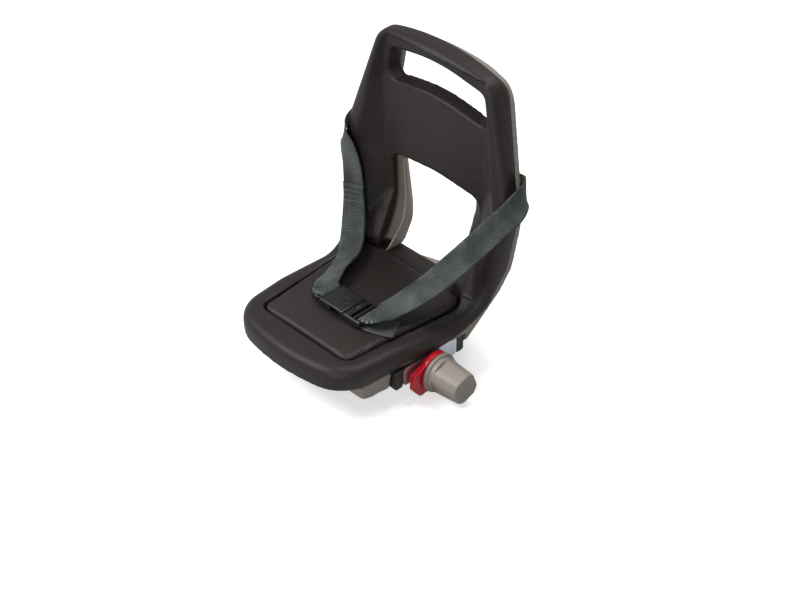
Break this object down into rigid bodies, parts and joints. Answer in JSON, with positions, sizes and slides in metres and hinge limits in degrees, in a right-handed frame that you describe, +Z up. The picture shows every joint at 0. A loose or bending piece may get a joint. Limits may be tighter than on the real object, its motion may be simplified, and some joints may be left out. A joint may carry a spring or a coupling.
{
  "type": "rear child bicycle seat",
  "caption": "Rear bicycle seat for an older child: padded black bucket seat on a warm grey back frame, lap belt with buckle, and a knob-driven carrier clamp with a red lock ring",
  "frame": {"origin": "centre of the carrier clamp: midway between the jaws, on the knob's axis in plan, on the plane where the clamp rail lies on the carrier tubes", "axes": "+Z up, the child faces -Y, +X towards the clamp knob (the child's left)"},
  "size_m": [0.3788, 0.3694, 0.459],
  "materials": {
    "soft_black": "soft-touch moulded skin, fine matt grain",
    "pad_black": "soft moulded pad, fine matt grain",
    "taupe_plastic": "warm grey moulded plastic, satin",
    "zinc_plate": "zinc plated, cool blue tint",
    "bright_steel": "turned",
    "zinc_screw": "zinc plated",
    "brass": "turned",
    "black_plastic": "moulded, matt",
    "buckle_plastic": "moulded, satin",
    "red_plastic": "moulded, glossy",
    "webbing": "dark grey-green twill webbing"
  },
  "bodies": {
    "seat": {"seat_shell": "soft_black", "back_frame": "taupe_plastic", "shell_screws": "zinc_screw", "seat_pad": "pad_black", "clamp_rail": "zinc_plate", "spindle_bush": "black_plastic", "fixed_jaw": "zinc_plate", "clamp_bolts": "zinc_screw", "rail_block_front": "black_plastic", "rail_block_rear": "black_plastic", "belt_left": "webbing", "belt_right": "webbing", "belt_bracket": "black_plastic", "bracket_screws": "zinc_screw", "buckle_socket": "buckle_plastic"},
    "knob": {"knob": "taupe_plastic", "spindle": "bright_steel", "spindle_collar": "bright_steel", "spindle_clip": "bright_steel"},
    "jaw": {"sliding_jaw": "zinc_plate", "jaw_nut": "brass"},
    "lock": {"lock_ring": "red_plastic"},
    "tongue": {"buckle_tongue": "buckle_plastic", "belt_tail": "webbing"}
  },
  "joints": [
    {"name": "knob_turn", "type": "hinge", "parent": "seat", "child": "knob", "pos_m": [0.15, 0, 0.01], "axis": [-1, 0, 0], "range_deg": [0, 2880.5]},
    {"name": "jaw_slide", "type": "slide", "parent": "seat", "child": "jaw", "axis": [-1, 0, 0], "range_m": [0, 0.04]},
    {"name": "lock_turn", "type": "hinge", "parent": "seat", "child": "lock", "pos_m": [0.139, 0, 0.01], "axis": [-1, 0, 0], "range_deg": [0, 40]},
    {"name": "buckle_pull", "type": "slide", "parent": "seat", "child": "tongue", "axis": [1, 0, 0], "range_m": [0, 0.034], "deforming": ["belt_right"]}
  ],
  "couplings": [
    {"joint": "knob_turn", "follows": "jaw_slide", "rad_per_m": 1256.6}
  ]
}
